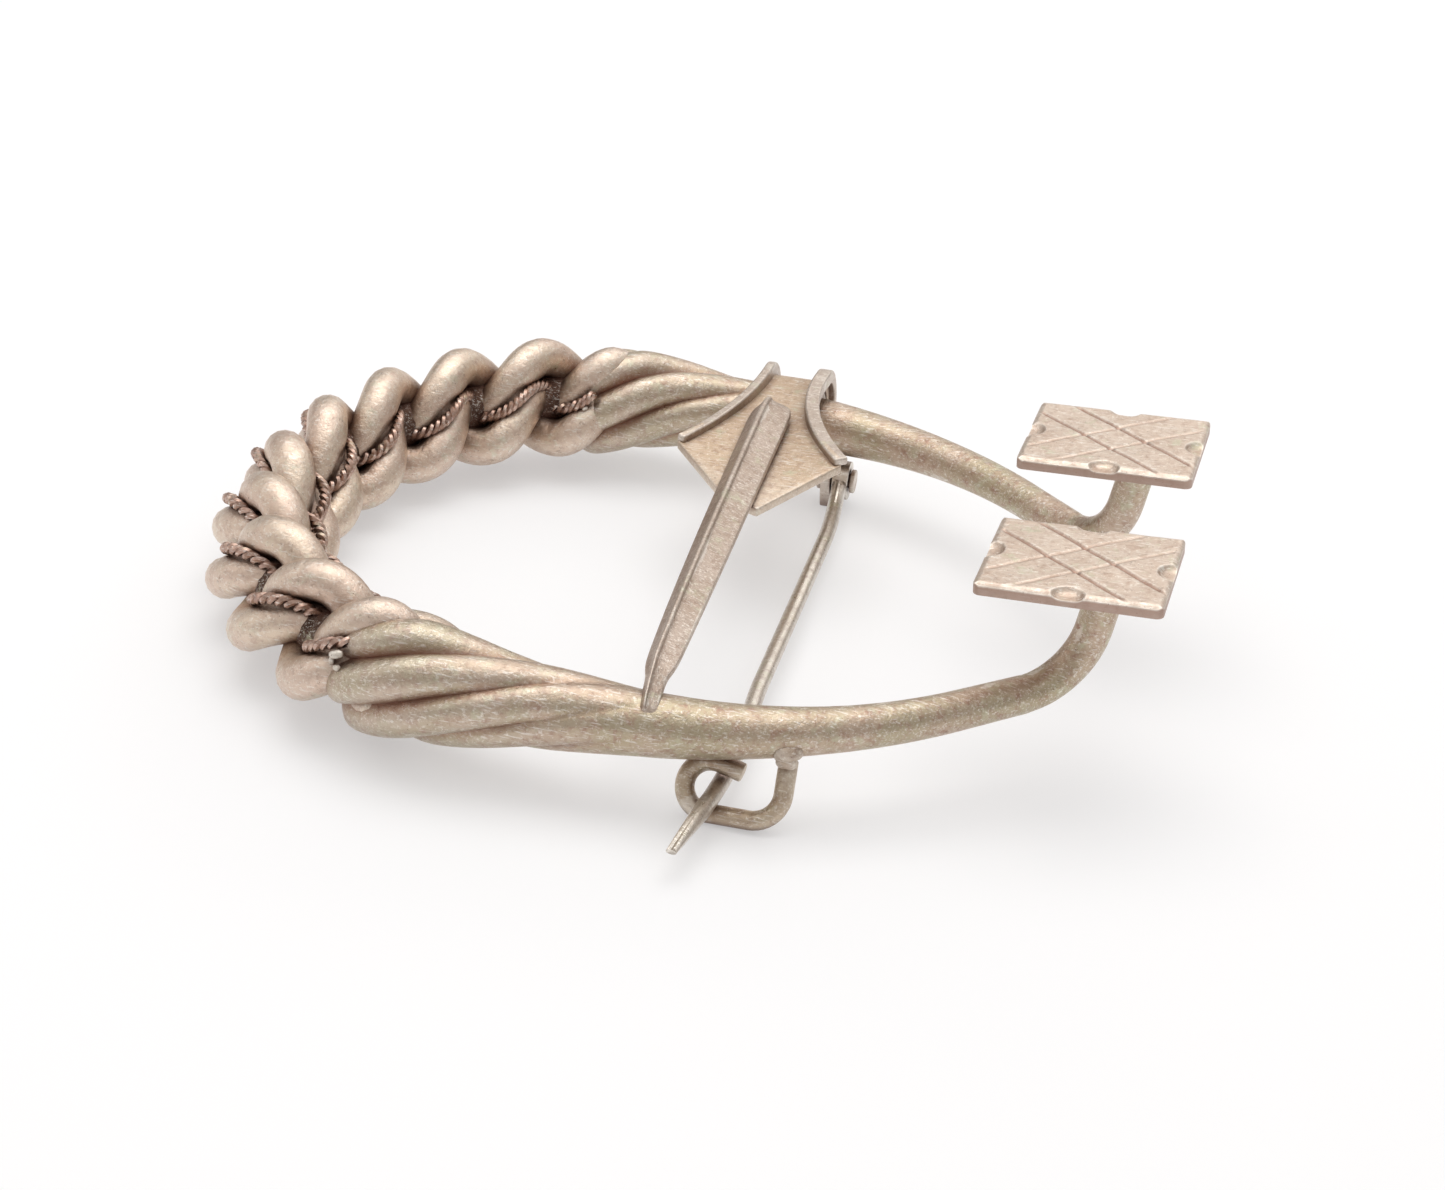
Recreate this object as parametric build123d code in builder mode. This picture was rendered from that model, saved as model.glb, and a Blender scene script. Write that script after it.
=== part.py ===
from build123d import *
import math
import os

# A silver brooch, an open hoop that lies on its back: a thick twisted bow at -X, two tapering arms that
# close in towards +X and turn up to carry two terminal plates, and a pin that crosses from the rear arm
# to a hook on the front arm. Sizes are in millimetres. The pieces are made round the bow's centre, with
# the hoop's centreline in the plane z = 0, and are laid down on the table at the end.

os.makedirs("parts", exist_ok=True)

# The hoop's centreline, seen from above
bow_radius = 20.5
straight_length = 6.2
arm_curve_radius = 26.5
arm_sweep = 42
arm_tail_length = 5.9
bend_radius = 2.5
post_lean = 10
seam_gap = 0.04

# The twisted bow: two pairs of rods, left-handed, with a core of solder between them
twist_pitch = 11.47
pair_offset = 1.78
rod_offset = 1.28
rod_radius = 1.3
core_radius = 2.3
pair_count = 2
twist_start = 27
twist_unit_angle = 173.4
bow_front_reach = 63
bow_rear_reach = 68
bow_section_points = 36
bow_sections = 66

# The arms
front_root_diameter = 8.3
rear_root_diameter = 7.9
front_end_diameter = 2.15
rear_end_diameter = 2.2
flute_count = 6
flute_turn = -7.5

# The terminal plates
plate_length = 10.55
plate_width = 8.66
plate_thickness = 0.8
plate_rise = 7.4
plate_pitch = 2.9
plate_yaw = -2.7
plate_set_back = 1.85
plate_edge_round = 0.22
dimple_radius = 0.85
dimple_depth = 0.32
groove_width = 0.34
groove_depth = 0.14
groove_spacing = 2.35

# The pin head plate over the rear arm
head_sheet = 0.6
head_centre_x = 7.0
head_waist = 4.0
fan_left = 5.1
fan_right = 5.6
fan_tip_y = 9.0
fan_foot_left = 0.4
fan_foot_left_y = 2.3
fan_foot_right = 1.9
fan_foot_right_y = 1.3
fan_pinch = 1.25
wrap_angle = 125
arm_clearance = 0.05
rim_width = 0.5
rim_height = 0.5

# The fixed ornamental bar
bar_rear_x = 6.85
bar_rear_y = 15.4
bar_front_x = 8.35
bar_front_overrun = 1.19
bar_width = 2.7
bar_height = 0.95
bar_nose_drop = 0.25

# The working pin and its hinge under the rear arm
hinge_x = 10.9
hinge_forward = 0.28
hinge_depth = 3.55
pin_diameter = 1.0
pin_point_length = 4.2
pin_point_width = 0.62
pin_point_thickness = 0.3
pin_shoulder_x = 11.55
pin_shoulder_y = 12.5
pin_middle_x = 11.75
pin_middle_y = -10.0
pin_waist_x = 12.45
pin_waist_inset = 3.3
pin_end_x = 11.7
pin_end_overrun = 6.5
pin_bend_radius = 45
eye_diameter = 2.6
rivet_diameter = 1.0
rivet_clearance = 0.05
rivet_head_diameter = 1.6
rivet_head_length = 0.3
lug_thickness = 0.7
lug_clearance = 0.1

# The catch hook under the front arm
hook_wire = 1.1
hook_x = 15.7
hook_lean = 28
hook_drop = 5.25
hook_bend_radius = 1.7
hook_curl_radius = 1.45
hook_curl_x = 4.1
hook_tip_length = 1.4
hook_tip_turn = 14
hook_seat_gap = 0.14
hook_inset = 0.4
hook_sink = 0.2

# Values that follow from the sizes above
bow_half_thickness = pair_offset + rod_offset + rod_radius
hook_low = hook_sink + hook_drop * math.cos(math.radians(hook_lean)) + hook_wire / 2
rest_slope = (hook_low - bow_half_thickness) / (bow_radius + hook_x - hook_curl_x)
rest_tilt = math.degrees(math.atan(rest_slope))


def table_depth(x):
    """How far the table lies under the hoop's plane at a given x."""
    return bow_half_thickness + (x + bow_radius) * rest_slope


# The hoop's centreline, walked from the middle of the bow to the end of an arm

quarter_bow = bow_radius * math.pi / 2
arm_curve_length = arm_curve_radius * math.radians(arm_sweep)
tail_start_run = quarter_bow + straight_length + arm_curve_length
arm_end_run = tail_start_run + arm_tail_length


def hoop_place(run, side):
    """Point, walking direction and inward direction on the flat part of the hoop."""
    if run <= quarter_bow:
        turn = run / bow_radius
        point = Vector(-bow_radius * math.cos(turn), side * bow_radius * math.sin(turn))
        heading = math.pi / 2 - turn
    elif run <= quarter_bow + straight_length:
        point = Vector(run - quarter_bow, side * bow_radius)
        heading = 0
    else:
        turn = (min(run, tail_start_run) - quarter_bow - straight_length) / arm_curve_radius
        tail = max(run - tail_start_run, 0)
        x = straight_length + arm_curve_radius * math.sin(turn) + tail * math.cos(turn)
        y = bow_radius - arm_curve_radius * (1 - math.cos(turn)) - tail * math.sin(turn)
        point = Vector(x, side * y)
        heading = -turn
    walk = Vector(math.cos(heading), side * math.sin(heading))
    inward = Vector(math.sin(heading), -side * math.cos(heading))
    return point, walk, inward


def arm_at_x(x):
    """Distance walked along the hoop at which the arm has a given x."""
    if x <= straight_length:
        return quarter_bow + x
    turn = math.asin((x - straight_length) / arm_curve_radius)
    return quarter_bow + straight_length + arm_curve_radius * turn


# Twisted bow

def rod_reach(rod_x, rod_y, drift_x, drift_y, angle):
    """How far a slanted rod's skin lies from the bow's axis in one direction, or 0 if it is missed."""
    lean = 1 + drift_x * drift_x + drift_y * drift_y
    ray_x = math.cos(angle)
    ray_y = math.sin(angle)
    ray_drift = ray_x * drift_x + ray_y * drift_y
    rod_drift = rod_x * drift_x + rod_y * drift_y
    ray_ray = 1 - ray_drift ** 2 / lean
    ray_rod = ray_x * rod_x + ray_y * rod_y - ray_drift * rod_drift / lean
    rod_rod = rod_x ** 2 + rod_y ** 2 - rod_drift ** 2 / lean
    inside = ray_rod ** 2 - ray_ray * (rod_rod - rod_radius ** 2)
    if inside < 0:
        return 0
    return (ray_rod + math.sqrt(inside)) / ray_ray


def rods_at(along):
    """Centre and drift of each rod where the bow's axis has been walked a signed distance."""
    main_rate = 2 * math.pi / twist_pitch
    own_rate = -main_rate / 2
    start = math.radians(twist_start)
    rods = []
    for pair in range(pair_count):
        main = main_rate * along + 2 * math.pi * pair / pair_count + start
        for half in range(2):
            own = own_rate * along + math.pi * (0.5 - pair / pair_count + half) + start
            rods.append((
                pair_offset * math.cos(main) + rod_offset * math.cos(own),
                pair_offset * math.sin(main) + rod_offset * math.sin(own),
                -pair_offset * main_rate * math.sin(main) - rod_offset * own_rate * math.sin(own),
                pair_offset * main_rate * math.cos(main) + rod_offset * own_rate * math.cos(own),
            ))
    return rods


def bow_section(along):
    """Points round the bow's skin. The walk is positive towards the rear."""
    side = 1 if along >= 0 else -1
    centre, walk, inward = hoop_place(abs(along), side)
    from_unit = along - bow_radius * math.radians(180 - twist_unit_angle)
    rods = rods_at(from_unit)
    points = []
    for step in range(bow_section_points):
        angle = 2 * math.pi * step / bow_section_points
        reach = max([core_radius] + [rod_reach(*rod, angle) for rod in rods])
        points.append(centre + inward * (reach * math.cos(angle)) + Vector(0, 0, reach * math.sin(angle)))
    return points


def skin(sections):
    """A closed solid through rings of points, with a flat face at each end."""
    faces = [Face(Wire.make_polygon(ring)) for ring in (sections[0], sections[-1])]
    count = len(sections[0])
    for ring, following in zip(sections, sections[1:]):
        for step in range(count):
            after = (step + 1) % count
            faces.append(Face(Wire.make_polygon([ring[step], ring[after], following[after]])))
            faces.append(Face(Wire.make_polygon([ring[step], following[after], following[step]])))
    return Solid(Shell(faces))


front_start = bow_radius * math.radians(bow_front_reach)
rear_start = bow_radius * math.radians(bow_rear_reach)
bow_length = front_start + rear_start
bow_rings = [bow_section(-front_start + bow_length * step / bow_sections) for step in range(bow_sections + 1)]

with BuildPart() as twisted_bow:
    add(skin(bow_rings))


# Arms

# along: share of the arm's length from the bow to its bend
# thick: share of the way from the end's diameter to the root's
# flute: depth of the flutes as a share of the radius
arm_table = [
    # along, thick, flute
    (0.000, 1.000, 0.18),
    (0.055, 0.960, 0.17),
    (0.115, 0.840, 0.16),
    (0.180, 0.670, 0.14),
    (0.250, 0.510, 0.11),
    (0.325, 0.390, 0.07),
    (0.405, 0.290, 0.03),
    (0.490, 0.210, 0.00),
    (0.590, 0.135, 0.00),
    (0.710, 0.070, 0.00),
    (0.850, 0.030, 0.00),
    (1.000, 0.010, 0.00),
]


def post_stations(side):
    """Frames round the bend and up the post, which leans outward along X."""
    point, walk, inward = hoop_place(arm_end_run, side)
    upright = Vector(math.sin(math.radians(post_lean)), 0, math.cos(math.radians(post_lean)))
    hinge_line = walk.cross(upright).normalized()
    full_turn = math.degrees(math.acos(walk.dot(upright)))
    outward = hinge_line.cross(walk)
    centre = point + outward * bend_radius
    stations = []
    for share in (0.2, 0.4, 0.6, 0.8, 1.0):
        spin = share * full_turn
        along = walk.rotate(Axis((0, 0, 0), hinge_line), spin)
        place = centre - outward.rotate(Axis((0, 0, 0), hinge_line), spin) * bend_radius
        across = inward.rotate(Axis((0, 0, 0), hinge_line), spin)
        stations.append((place, along, across))
    place, along, across = stations[-1]
    reach = (plate_rise - place.Z) / upright.Z
    for share in (0.5, 1.0):
        stations.append((place + upright * (reach * share), along, across))
    return stations


def arm_diameter(side, thick):
    root = rear_root_diameter if side > 0 else front_root_diameter
    end = rear_end_diameter if side > 0 else front_end_diameter
    return end + (root - end) * thick


def arm_thickness_at(run, side):
    """Diameter of an arm at a distance walked along the hoop."""
    start = rear_start if side > 0 else front_start
    share = (run - start) / (arm_end_run - start)
    for (low, low_thick, _), (high, high_thick, _) in zip(arm_table, arm_table[1:]):
        if share <= high:
            return arm_diameter(side, low_thick + (high_thick - low_thick) * (share - low) / (high - low))
    return arm_diameter(side, 0)


def arm_solid(side):
    """One arm, lofted from its fluted root at the bow to the top of its post."""
    start = (rear_start if side > 0 else front_start) + seam_gap
    rings = []
    for along, thick, flute in arm_table:
        run = start + (arm_end_run - start) * along
        point, walk, inward = hoop_place(run, side)
        rings.append((point, walk, inward, arm_diameter(side, thick) / 2, flute, flute_turn * (run - start)))
    last_turn = rings[-1][5]
    for point, walk, inward in post_stations(side):
        rings.append((point, walk, inward, arm_diameter(side, 0) / 2, 0, last_turn))
    with BuildPart() as arm:
        for point, walk, inward, radius, flute, turn in rings:
            with BuildSketch(Plane(origin=point, x_dir=inward, z_dir=walk)):
                with BuildLine():
                    for lobe in range(flute_count):
                        low = Vector(radius * (1 - flute), 0)
                        first = turn + 360 * lobe / flute_count
                        middle = first + 180 / flute_count
                        last = first + 360 / flute_count
                        ThreePointArc(low.rotate(Axis.Z, first),
                                      Vector(radius, 0).rotate(Axis.Z, middle),
                                      low.rotate(Axis.Z, last))
                make_face()
        loft(ruled=True)
        split(bisect_by=plate_plane(side).offset(-plate_thickness / 2 - seam_gap), keep=Keep.BOTTOM)
    return arm.part


def plate_plane(side):
    """Middle plane of a terminal plate, pitched and turned a little."""
    centre = post_stations(side)[-1][0] - Vector(plate_set_back, 0)
    return Plane(Location(centre, (0, -plate_pitch, plate_yaw)))


with BuildPart() as front_arm:
    add(arm_solid(-1))

with BuildPart() as rear_arm:
    add(arm_solid(1))


# Terminal plates, each with softened edges, a dimple at the middle of each side and an engraved
# double saltire on top

def terminal_plate(side):
    corner = math.degrees(math.atan2(plate_width, plate_length))
    groove_length = math.hypot(plate_length, plate_width)
    with BuildPart() as plate:
        Box(plate_length, plate_width, plate_thickness)
        fillet(plate.edges().filter_by(Axis.Z), plate_edge_round * 2)
        fillet(plate.faces().sort_by(Axis.Z)[-1].edges(), plate_edge_round)
        top = plate_thickness / 2
        lift = dimple_radius - dimple_depth
        sides = [(plate_length / 2, 0), (-plate_length / 2, 0), (0, plate_width / 2), (0, -plate_width / 2)]
        with Locations(*[(x, y, top + lift) for x, y in sides]):
            Sphere(dimple_radius, mode=Mode.SUBTRACT)
        for lean in (corner, -corner):
            aside = Vector(-math.sin(math.radians(lean)), math.cos(math.radians(lean)))
            for shift in (-groove_spacing / 2, groove_spacing / 2):
                with Locations(Location(aside * shift + Vector(0, 0, top), (0, 0, lean))):
                    Box(groove_length, groove_width, 2 * groove_depth, mode=Mode.SUBTRACT)
    return plate.part.moved(plate_plane(side).location)


with BuildPart() as front_plate:
    add(terminal_plate(-1))

with BuildPart() as rear_plate:
    add(terminal_plate(1))


# Pin head plate: a fan of sheet on top of the rear arm, wrapped over and behind it, with two raised rims

head_run = arm_at_x(head_centre_x)
head_arm_radius = arm_thickness_at(arm_at_x(head_centre_x - head_waist / 2), 1) / 2
head_inner = head_arm_radius + arm_clearance
head_outer = head_inner + head_sheet
head_left = head_centre_x - head_waist / 2
head_right = head_centre_x + head_waist / 2
head_arm_y = hoop_place(head_run, 1)[0].Y
side_middle_y = (head_arm_y + fan_tip_y) / 2


def fan_outline():
    """The fan's outline, with concave sides and a straight V at its lower edge."""
    left_tip = (head_centre_x - fan_left, fan_tip_y)
    right_tip = (head_centre_x + fan_right, fan_tip_y)
    left_foot = (head_centre_x - fan_foot_left, fan_foot_left_y)
    right_foot = (head_centre_x + fan_foot_right, fan_foot_right_y)
    left_middle = ((head_left + left_tip[0]) / 2 + fan_pinch / 2, side_middle_y)
    right_middle = ((head_right + right_tip[0]) / 2 - fan_pinch, side_middle_y)
    ThreePointArc((head_left, head_arm_y), left_middle, left_tip)
    Polyline(left_tip, left_foot, right_foot, right_tip)
    ThreePointArc(right_tip, right_middle, (head_right, head_arm_y))
    Line((head_right, head_arm_y), (head_left, head_arm_y))


def rim_outline(x_side):
    """A band along one concave side of the fan."""
    if x_side < 0:
        tip_x = head_centre_x - fan_left
        waist_x = head_left
        middle_x = (waist_x + tip_x) / 2 + fan_pinch / 2
    else:
        tip_x = head_centre_x + fan_right
        waist_x = head_right
        middle_x = (waist_x + tip_x) / 2 - fan_pinch
    inside = -x_side * rim_width
    ThreePointArc((waist_x, head_arm_y), (middle_x, side_middle_y), (tip_x, fan_tip_y))
    Line((tip_x, fan_tip_y), (tip_x + inside, fan_tip_y))
    ThreePointArc((tip_x + inside, fan_tip_y), (middle_x + inside, side_middle_y),
                  (waist_x + inside, head_arm_y))
    Line((waist_x + inside, head_arm_y), (waist_x, head_arm_y))


def wrap_profile(inner, outer):
    """A curled strip round the arm, in a plane across it, from its top over and behind."""
    end = math.radians(90 - wrap_angle)
    half = math.radians(90 - wrap_angle / 2)
    Line((0, inner), (0, outer))
    ThreePointArc((0, outer), (outer * math.cos(half), outer * math.sin(half)),
                  (outer * math.cos(end), outer * math.sin(end)))
    Line((outer * math.cos(end), outer * math.sin(end)), (inner * math.cos(end), inner * math.sin(end)))
    ThreePointArc((inner * math.cos(end), inner * math.sin(end)),
                  (inner * math.cos(half), inner * math.sin(half)), (0, inner))


with BuildPart() as pin_head_plate:
    with BuildSketch(Plane.XY.offset(head_inner)):
        with BuildLine():
            fan_outline()
        make_face()
    extrude(amount=head_sheet)
    across = Plane(origin=(head_left, head_arm_y, 0), x_dir=(0, 1, 0), z_dir=(1, 0, 0))
    with BuildSketch(across):
        with BuildLine():
            wrap_profile(head_inner, head_outer)
        make_face()
    extrude(amount=head_waist)
    for x_side in (-1, 1):
        with BuildSketch(Plane.XY.offset(head_outer)):
            with BuildLine():
                rim_outline(x_side)
            make_face()
        extrude(amount=rim_height)
        start = 0 if x_side < 0 else head_waist - rim_width
        with BuildSketch(across.offset(start)):
            with BuildLine():
                wrap_profile(head_outer, head_outer + rim_height)
            make_face()
        extrude(amount=rim_width)


# Ornamental bar: a roof-shaped bar from the fan to the front arm

# along: share of the bar's length from its rear end
# wide, high: shares of the bar's width and height
# fall: share of the way down from the fan's top to the front arm's top
bar_table = [
    # along, wide, high, fall
    (0.000, 0.35, 0.60, 0.00),
    (0.012, 0.72, 0.80, 0.00),
    (0.035, 1.00, 1.00, 0.00),
    (0.500, 0.94, 1.00, 0.00),
    (0.900, 0.78, 1.00, 0.86),
    (0.963, 0.70, 0.90, 1.00),
    (1.000, 0.36, 0.45, 1.00),
]

bar_front_y = -hoop_place(arm_at_x(bar_front_x), 1)[0].Y - bar_front_overrun
bar_rear_z = head_outer + seam_gap
bar_seat_run = arm_at_x(bar_front_x - bar_width / 2)
bar_seat_z = arm_thickness_at(bar_seat_run, -1) / 2 + arm_clearance

with BuildPart() as ornament_pin:
    for along, wide, high, fall in bar_table:
        x = bar_rear_x + (bar_front_x - bar_rear_x) * along
        y = bar_rear_y + (bar_front_y - bar_rear_y) * along
        base = bar_rear_z + (bar_seat_z - bar_rear_z) * fall
        if along == 1:
            base -= bar_nose_drop
        width = bar_width * wide
        height = bar_height * high
        with BuildSketch(Plane(origin=(x, y, base), x_dir=(1, 0, 0), z_dir=(0, -1, 0))):
            with BuildLine():
                Polyline((-width / 2, 0), (-width / 2, height * 0.45), (-width / 6, height),
                         (width / 2, height * 0.35), (width / 2, 0), close=True)
            make_face()
    loft(ruled=True)


# Hinge bracket under the rear arm: one lug beside the pin's eye, which stands on the table

hinge_run = arm_at_x(hinge_x)
hinge_arm_y = hoop_place(hinge_run, 1)[0].Y
hinge_y = hinge_arm_y - hinge_forward
hinge_arm_radius = arm_thickness_at(arm_at_x(hinge_x - eye_diameter), 1) / 2
eye_radius = eye_diameter / 2
lug_face_x = hinge_x - pin_diameter / 2 - lug_clearance
foot_depth = table_depth(lug_face_x)
lug_back = hinge_y + eye_radius

with BuildPart() as hinge_bracket:
    with BuildSketch(Plane.YZ.offset(lug_face_x)):
        with BuildLine():
            Polyline((hinge_y - eye_radius, -hinge_depth), (hinge_y - eye_radius * 0.6, -foot_depth),
                     (lug_back, -foot_depth), (lug_back, 0), (hinge_arm_y, 0),
                     (hinge_y - eye_radius, -hinge_depth + eye_radius * 0.6), close=True)
        make_face()
    extrude(amount=-lug_thickness)
    with BuildSketch(Plane.YZ.offset(lug_face_x)):
        with Locations((hinge_y, -hinge_depth)):
            Circle(rivet_diameter / 2)
    extrude(amount=-lug_thickness, mode=Mode.SUBTRACT)
    with Locations(Location(hoop_place(hinge_run, 1)[0], (0, 90, -math.degrees(
            (hinge_run - quarter_bow - straight_length) / arm_curve_radius)))):
        Cylinder(hinge_arm_radius + seam_gap, 4 * eye_diameter, mode=Mode.SUBTRACT)

rivet_left_x = lug_face_x - lug_thickness - seam_gap
rivet_right_x = hinge_x + pin_diameter / 2 + lug_clearance

with BuildPart() as hinge_rivet:
    with BuildSketch(Plane.YZ.offset(rivet_left_x)):
        with Locations((hinge_y, -hinge_depth)):
            Circle(rivet_diameter / 2 - seam_gap)
    extrude(amount=rivet_right_x - rivet_left_x)
    for head_x, amount in ((rivet_left_x, -rivet_head_length), (rivet_right_x, rivet_head_length)):
        with BuildSketch(Plane.YZ.offset(head_x)):
            with Locations((hinge_y, -hinge_depth)):
                Circle(rivet_head_diameter / 2)
        extrude(amount=amount)


# Working pin: an eye round the rivet, a round wire and a flattened point

with BuildPart() as pin_wire:
    with BuildSketch(Plane.YZ.offset(hinge_x)):
        with Locations((hinge_y, -hinge_depth)):
            Circle(eye_radius)
            Circle(rivet_diameter / 2 - seam_gap + rivet_clearance, mode=Mode.SUBTRACT)
    extrude(amount=pin_diameter / 2, both=True)
    pin_points = [
        (hinge_x, hinge_y - eye_radius + 0.25, -hinge_depth),
        (pin_shoulder_x, pin_shoulder_y, -hinge_depth),
        (pin_middle_x, pin_middle_y, -hinge_depth),
        (pin_waist_x, -bow_radius + pin_waist_inset, -hinge_depth),
        (pin_end_x, -bow_radius - pin_end_overrun + pin_point_length, -hinge_depth),
    ]
    with BuildLine() as pin_path:
        FilletPolyline(*pin_points, radius=pin_bend_radius)
    with BuildSketch(Plane(origin=pin_path.line @ 0, z_dir=pin_path.line % 0)):
        Circle(pin_diameter / 2)
    sweep(path=pin_path.line)
    point_start = pin_path.line @ 1
    point_way = pin_path.line % 1
    with BuildSketch(Plane(origin=point_start, x_dir=(0, 0, 1), z_dir=point_way)):
        Circle(pin_diameter / 2)
    with BuildSketch(Plane(origin=point_start + point_way * pin_point_length, x_dir=(0, 0, 1),
                           z_dir=point_way)):
        Ellipse(pin_point_thickness / 2, pin_point_width / 2)
    loft()


# Catch hook: a bent wire under the front arm, in a plane that leans outward

hook_run = arm_at_x(hook_x)
hook_arm_radius = arm_thickness_at(hook_run, -1) / 2
hook_down = Vector(0, -math.sin(math.radians(hook_lean)), -math.cos(math.radians(hook_lean)))
hook_plane = Plane(origin=hoop_place(hook_run, -1)[0] + Vector(0, hook_inset, -hook_sink),
                   x_dir=(1, 0, 0), z_dir=hook_down.cross(Vector(1, 0, 0)))
tip_turn = math.radians(hook_tip_turn)
curl_middle_y = -hook_drop + hook_curl_radius
curl_end_x = -hook_curl_x + hook_curl_radius * math.sin(tip_turn)
curl_end_y = curl_middle_y + hook_curl_radius * math.cos(tip_turn)
tip_x = curl_end_x + hook_tip_length * math.cos(tip_turn)
tip_y = curl_end_y - hook_tip_length * math.sin(tip_turn)

with BuildPart() as catch_hook:
    with BuildLine(hook_plane) as hook_path:
        stem_end = (0, -hook_drop + hook_bend_radius)
        Line((0, -hook_arm_radius - hook_seat_gap), stem_end)
        RadiusArc(stem_end, (-hook_bend_radius, -hook_drop), hook_bend_radius)
        Line((-hook_bend_radius, -hook_drop), (-hook_curl_x, -hook_drop))
        ThreePointArc((-hook_curl_x, -hook_drop), (-hook_curl_x - hook_curl_radius, curl_middle_y),
                      (curl_end_x, curl_end_y))
        Line((curl_end_x, curl_end_y), (tip_x, tip_y))
    with BuildSketch(Plane(origin=hook_path.line @ 0, z_dir=hook_path.line % 0)):
        Circle(hook_wire / 2)
    sweep(path=hook_path.line)


# The brooch is laid down: tilted until the bow, the bracket and the hook rest, and moved so that the
# origin is at the bottom centre of its box

pieces = {
    "twisted_bow": twisted_bow,
    "front_arm": front_arm,
    "rear_arm": rear_arm,
    "front_plate": front_plate,
    "rear_plate": rear_plate,
    "pin_head_plate": pin_head_plate,
    "ornament_pin": ornament_pin,
    "hinge_bracket": hinge_bracket,
    "hinge_rivet": hinge_rivet,
    "pin_wire": pin_wire,
    "catch_hook": catch_hook,
}
laid = Rot(0, -rest_tilt, 0)
for piece in pieces.values():
    piece.part = piece.part.moved(laid)
box = Compound([piece.part for piece in pieces.values()]).bounding_box()
shift = Location((-box.center().X, -box.center().Y, -box.min.Z))
for name, piece in pieces.items():
    piece.part = piece.part.moved(shift)
    piece.part.label = name
    export_step(piece.part, f"parts/{name}.step")

hinge_place = (shift * laid * Location((hinge_x, hinge_y, -hinge_depth))).position
print("box", box.size, "shift", shift.position)
print("hinge at", hinge_place, "tilt", rest_tilt)
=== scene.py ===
import math
import bpy
import bmesh
from mathutils import Matrix, Vector


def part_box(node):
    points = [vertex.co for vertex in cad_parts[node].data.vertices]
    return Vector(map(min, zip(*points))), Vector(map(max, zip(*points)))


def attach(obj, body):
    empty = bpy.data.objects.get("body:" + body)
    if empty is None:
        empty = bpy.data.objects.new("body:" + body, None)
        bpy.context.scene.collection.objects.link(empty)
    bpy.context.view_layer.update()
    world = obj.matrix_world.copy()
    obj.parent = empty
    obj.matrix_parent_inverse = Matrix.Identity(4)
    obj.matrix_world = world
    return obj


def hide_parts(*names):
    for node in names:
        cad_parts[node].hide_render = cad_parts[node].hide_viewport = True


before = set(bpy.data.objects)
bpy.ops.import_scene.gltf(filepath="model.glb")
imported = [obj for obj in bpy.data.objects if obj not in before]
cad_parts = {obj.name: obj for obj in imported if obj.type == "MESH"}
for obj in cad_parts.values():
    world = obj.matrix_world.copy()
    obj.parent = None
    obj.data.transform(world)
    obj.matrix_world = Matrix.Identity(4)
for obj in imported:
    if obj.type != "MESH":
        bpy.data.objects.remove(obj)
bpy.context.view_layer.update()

# Worktop, camera and light: a sheet of white paper under a large soft lamp from above, with a
# weaker lamp at the back and one at the left. None of it belongs to the brooch.
MM = 0.001
picture_width = 1445
focal_pixels = 2763
sensor_width = 36
camera_place = Vector((31.066, -144.159, 85.245)) * MM
camera_azimuth = math.radians(11.15)
camera_elevation = math.radians(29.11)
camera_roll = math.radians(5.29)
nearest_view = 5 * MM
paper_size = 2.4
paper_grey = (0.55, 0.55, 0.555, 1)
paper_glow = (0.99, 0.99, 1.0, 1)
paper_glow_strength = 0.40
paper_roughness = 0.75
room_low = (0.22, 0.18, 0.15, 1)
room_high = (0.95, 0.94, 0.93, 1)
room_high_from = 0.75
room_strength = 0.86
room_seen = (0.90, 0.90, 0.905, 1)

back = Vector((math.sin(camera_azimuth) * math.cos(camera_elevation),
               -math.cos(camera_azimuth) * math.cos(camera_elevation),
               math.sin(camera_elevation)))
level = Vector((math.cos(camera_azimuth), math.sin(camera_azimuth), 0))
upright = back.cross(level)
right = level * math.cos(camera_roll) + upright * math.sin(camera_roll)
up = back.cross(right)
bpy.ops.object.camera_add(location=camera_place)
camera = bpy.context.object
camera.name = "photo_camera"
camera.rotation_euler = Matrix((right, up, back)).transposed().to_euler()
camera.data.sensor_width = sensor_width
camera.data.lens = focal_pixels * sensor_width / picture_width
camera.data.clip_start = nearest_view
bpy.context.scene.camera = camera
bpy.context.scene.view_settings.view_transform = "Standard"


def nothing_selected():
    if bpy.context.mode != "OBJECT":
        bpy.ops.object.mode_set(mode="OBJECT")
    bpy.ops.object.select_all(action="DESELECT")


def only(piece):
    nothing_selected()
    piece.select_set(True)
    bpy.context.view_layer.objects.active = piece


def lamp(name, place, aim, size, watts, colour):
    nothing_selected()
    bpy.ops.object.light_add(type="AREA", location=Vector(place) * MM)
    made = bpy.context.object
    made.name = name
    made.rotation_euler = (Vector(aim) - Vector(place)).to_track_quat("-Z", "Y").to_euler()
    made.data.shape = "RECTANGLE"
    made.data.size = size[0] * MM
    made.data.size_y = size[1] * MM
    made.data.energy = watts
    made.data.color = colour


lamp("overhead_lamp", (-30, 60, 330), (0, 0, 0), (330, 260), 0.50, (1.0, 0.985, 0.965))
lamp("back_lamp", (60, 330, 160), (0, 0, 5), (300, 120), 0.15, (1.0, 0.98, 0.96))
lamp("left_lamp", (-300, -60, 120), (0, 0, 5), (160, 120), 0.08, (1.0, 0.97, 0.95))

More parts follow.
